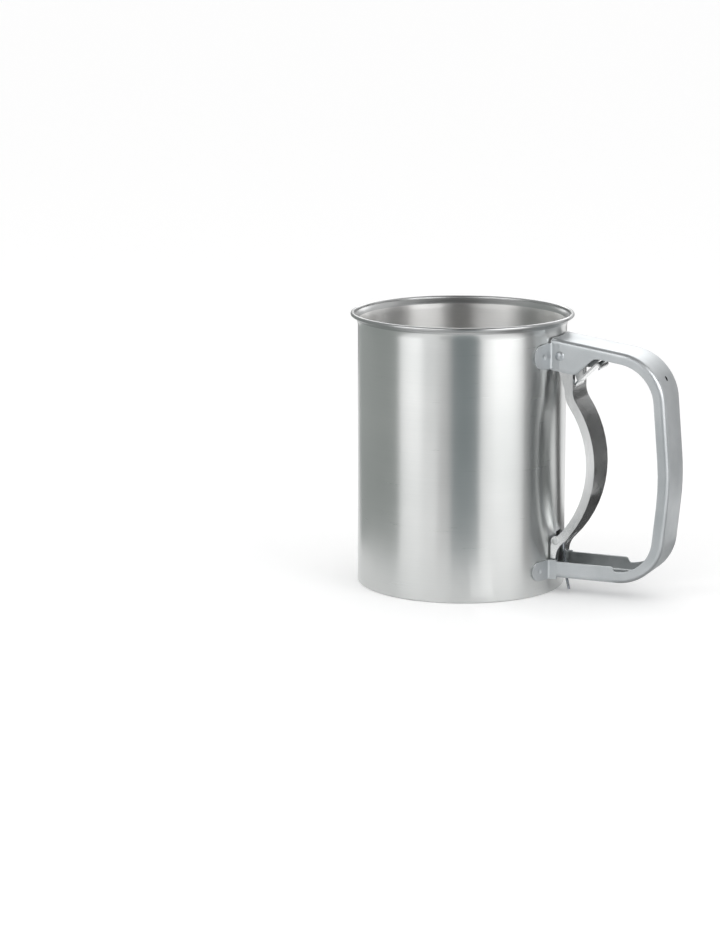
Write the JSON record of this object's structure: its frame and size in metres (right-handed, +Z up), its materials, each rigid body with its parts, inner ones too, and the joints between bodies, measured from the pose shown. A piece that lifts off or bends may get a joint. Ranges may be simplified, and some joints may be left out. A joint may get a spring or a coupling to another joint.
{
  "type": "flour sifter",
  "caption": "Squeeze-handle flour sifter: a steel cup with a net across the bottom, and a bow-shaped trigger inside the handle that turns a stamped wheel over the net.",
  "frame": {"origin": "on the cup's axis, in the plane of its base", "axes": "+X from the cup towards the handle, +Y across the handle, away from the picture's camera, +Z up the cup"},
  "size_m": [0.1616, 0.107, 0.1315],
  "materials": {
    "cup_steel": "drawn sheet, satin, brushed up and down",
    "ring_steel": "rolled strip, bright",
    "net_wire": "drawn wire, bright",
    "bearing_steel": "turned",
    "wheel_steel": "stamped sheet, tumbled",
    "handle_steel": "pressed sheet, satin",
    "trigger_steel": "pressed sheet, polished",
    "rivet_steel": "headed wire",
    "spring_wire": "drawn spring wire",
    "link_steel": "blanked strip"
  },
  "bodies": {
    "cup": {"cup_shell": "cup_steel", "screen_seat_ring": "ring_steel", "screen_mesh": "net_wire", "screen_clamp_ring": "ring_steel", "bearing_bush": "bearing_steel", "backing_washer": "bearing_steel", "handle": "handle_steel", "pivot_pin": "rivet_steel", "pivot_washer_near": "rivet_steel", "pivot_washer_far": "rivet_steel"},
    "trigger": {"trigger": "trigger_steel", "return_spring": "spring_wire", "link_pin": "rivet_steel", "link_collar_near": "rivet_steel", "link_collar_far": "rivet_steel"},
    "link": {"drive_link": "link_steel", "drive_peg": "link_steel"},
    "rotor": {"axle": "bearing_steel", "axle_washer": "bearing_steel", "rotor_spacer": "bearing_steel", "rotor_wheel": "wheel_steel", "hub_disc": "wheel_steel"}
  },
  "joints": [
    {"name": "trigger_squeeze", "type": "hinge", "parent": "cup", "child": "trigger", "pos_m": [0.0536, 0, 0.1149], "axis": [0, -1, 0], "range_deg": [0, 13], "stiffness_Nm_per_rad": 0.35, "springref_deg": -17.19, "deforming": ["return_spring"]},
    {"name": "link_level", "type": "hinge", "parent": "trigger", "child": "link", "pos_m": [0.0519, 0, 0.02555], "axis": [0, -1, 0], "range_deg": [-13, 0]},
    {"name": "rotor_turn", "type": "hinge", "parent": "cup", "child": "rotor", "pos_m": [0, 0, 0.01665], "axis": [0, 0, 1], "range_deg": [0, 44.6]}
  ],
  "couplings": [
    {"joint": "link_level", "follows": "trigger_squeeze", "ratio": -1},
    {"joint": "rotor_turn", "follows": "trigger_squeeze", "ratio": 3.4291}
  ]
}
